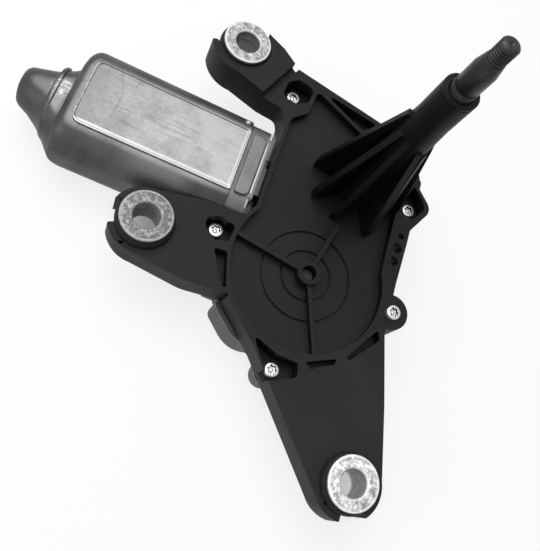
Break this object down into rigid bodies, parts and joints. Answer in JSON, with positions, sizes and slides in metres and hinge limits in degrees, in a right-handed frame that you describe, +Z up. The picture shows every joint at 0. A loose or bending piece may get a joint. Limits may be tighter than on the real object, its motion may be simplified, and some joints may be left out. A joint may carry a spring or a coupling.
{
  "type": "wiper motor",
  "caption": "Flattened motor can driving a gear case whose finned tower carries a threaded wiper spindle, with three rubber-mounted bolt ears.",
  "frame": {"origin": "on the spindle axis, in the plane of the three mounting sleeves' front faces", "axes": "+Z up the spindle towards its thread, +X along the motor from its nose to the gears"},
  "size_m": [0.2143, 0.2164, 0.1502],
  "materials": {
    "black_plastic": "fine moulded grain",
    "cast_metal": "die-cast skin",
    "can_steel": "pressed steel, scuffed",
    "sleeve_metal": "mottled cast",
    "rubber": "matte",
    "bright_steel": "ground",
    "screw_steel": "zinc plated",
    "gear_plastic": "natural nylon",
    "bearing_bronze": "sintered bronze",
    "magnet_ferrite": "sintered",
    "lamination_steel": "stacked sheets",
    "copper_wire": "enamelled",
    "card_plastic": "plain",
    "brush_carbon": "pressed"
  },
  "bodies": {
    "housing": {"brush_card": "card_plastic", "brush_left": "brush_carbon", "brush_right": "brush_carbon", "brush_spring_left": "bright_steel", "brush_spring_right": "bright_steel", "connector_blades": "bright_steel", "connector_socket": "black_plastic", "end_bearing": "bearing_bronze", "front_housing": "black_plastic", "grommet_bottom": "rubber", "grommet_left": "rubber", "grommet_top": "rubber", "housing_gasket": "rubber", "housing_screws": "screw_steel", "lower_spindle_bush": "bearing_bronze", "magnet_left": "magnet_ferrite", "magnet_right": "magnet_ferrite", "motor_can": "can_steel", "neck_bearing": "bearing_bronze", "nose_bearing": "bearing_bronze", "rear_housing": "cast_metal", "sleeve_bottom": "sleeve_metal", "sleeve_left": "sleeve_metal", "sleeve_top": "sleeve_metal", "spindle_seal": "rubber", "spindle_tower": "black_plastic", "thrust_washer": "bright_steel", "upper_spindle_bush": "bearing_bronze", "wheel_axle": "bright_steel", "wheel_clip": "bright_steel", "wheel_washer": "bright_steel"},
    "armature": {"armature_shaft": "bright_steel", "lamination_stack": "lamination_steel", "winding_front": "copper_wire", "winding_rear": "copper_wire", "commutator": "copper_wire"},
    "wheel": {"worm_wheel": "gear_plastic", "crank_pin": "bright_steel"},
    "output": {"spindle": "bright_steel", "pinion": "bright_steel", "pinion_spacer": "bright_steel", "spindle_circlip": "bright_steel"},
    "link": {"tie_link": "bright_steel", "pivot_pin": "bright_steel"},
    "rod": {"toothed_rod": "bright_steel"}
  },
  "joints": [
    {"name": "armature_spin", "type": "hinge", "parent": "housing", "child": "armature", "pos_m": [-0.06, -0.0175, -0.0205], "axis": [1, 0, 0], "continuous": true},
    {"name": "worm_wheel_spin", "type": "hinge", "parent": "housing", "child": "wheel", "pos_m": [-0.013, -0.056, -0.0205], "axis": [0, 0, 1], "continuous": true},
    {"name": "spindle_swing", "type": "hinge", "parent": "housing", "child": "output", "pos_m": [0, 0, 0], "axis": [0, 0, 1], "range_deg": [-120.8, 0]},
    {"name": "tie_link_swing", "type": "hinge", "parent": "housing", "child": "link", "pos_m": [0, 0, -0.0323], "axis": [0, 0, 1], "range_deg": [-54.2, 0]},
    {"name": "rod_swing", "type": "hinge", "parent": "link", "child": "rod", "pos_m": [-0.01878, -0.01526, -0.029], "axis": [0, 0, 1], "range_deg": [0, 55.6]}
  ],
  "couplings": [
    {"joint": "worm_wheel_spin", "follows": "armature_spin", "ratio": 0.017857},
    {"joint": "tie_link_swing", "follows": "spindle_swing", "ratio": 0.44835},
    {"joint": "rod_swing", "follows": "spindle_swing", "ratio": -0.45971}
  ]
}
